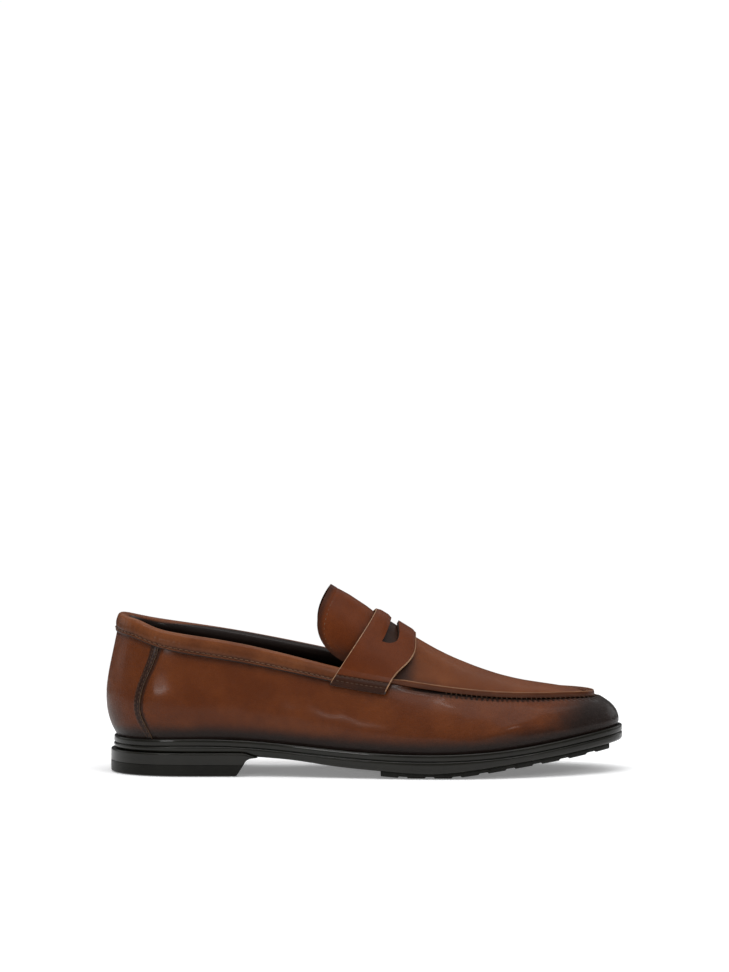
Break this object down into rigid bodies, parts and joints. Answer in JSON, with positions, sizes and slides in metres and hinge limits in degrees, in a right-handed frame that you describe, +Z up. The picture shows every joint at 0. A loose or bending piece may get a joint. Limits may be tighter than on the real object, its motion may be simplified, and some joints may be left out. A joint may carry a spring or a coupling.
{
  "type": "penny loafer",
  "caption": "Right-foot leather penny loafer with apron toe, slotted saddle strap, lifting tongue, bound collar, rubber sole and low heel.",
  "frame": {"origin": "on the ground under the middle of the shoe's box", "axes": "+X towards the toe, +Y towards the medial (inner) side, +Z up"},
  "size_m": [0.3005, 0.0982, 0.1089],
  "materials": {
    "upper_leather": "burnished brown calf, semi-gloss",
    "band_leather": "burnished brown calf, semi-gloss",
    "lining_leather": "dark matt lining leather",
    "grip_leather": "matt brown suede",
    "foam": "open-cell foam",
    "stiffener": "resin-stiffened non-woven",
    "board": "cellulose fibreboard",
    "filler": "pressed felt",
    "steel": "plain steel",
    "sole_rubber": "smooth, satin, near black",
    "tread_rubber": "moulded, matt, near black",
    "thread": "waxed tan thread",
    "dark_thread": "waxed dark thread"
  },
  "bodies": {
    "shoe": {"vamp_wall": "upper_leather", "heel_panel": "upper_leather", "apron": "upper_leather", "apron_bead": "upper_leather", "saddle_strap": "upper_leather", "collar_binding": "band_leather", "collar_foam": "foam", "apron_lining": "lining_leather", "vamp_lining": "lining_leather", "quarter_lining_lateral": "lining_leather", "quarter_lining_medial": "lining_leather", "heel_grip_lining": "grip_leather", "toe_puff": "stiffener", "heel_counter": "stiffener", "insole_board": "board", "shank": "steel", "forepart_filler": "filler", "sock_cushion": "foam", "sock": "lining_leather", "outsole": "sole_rubber", "forepart_tread": "tread_rubber", "heel_block": "sole_rubber", "heel_top_piece": "tread_rubber", "heel_nails": "steel", "collar_stitches": "thread", "heel_seam_stitches": "dark_thread", "strap_stitches": "dark_thread", "apron_stitches": "dark_thread"},
    "tongue_body": {"tongue": "upper_leather", "tongue_foam": "foam", "tongue_lining": "lining_leather", "tongue_stitches": "thread"}
  },
  "joints": [
    {"name": "tongue_flex", "type": "hinge", "parent": "shoe", "child": "tongue_body", "pos_m": [0.007, 0.0022, 0.0915], "axis": [0, 1, 0], "range_deg": [0, 25], "stiffness_Nm_per_rad": 0.2}
  ]
}
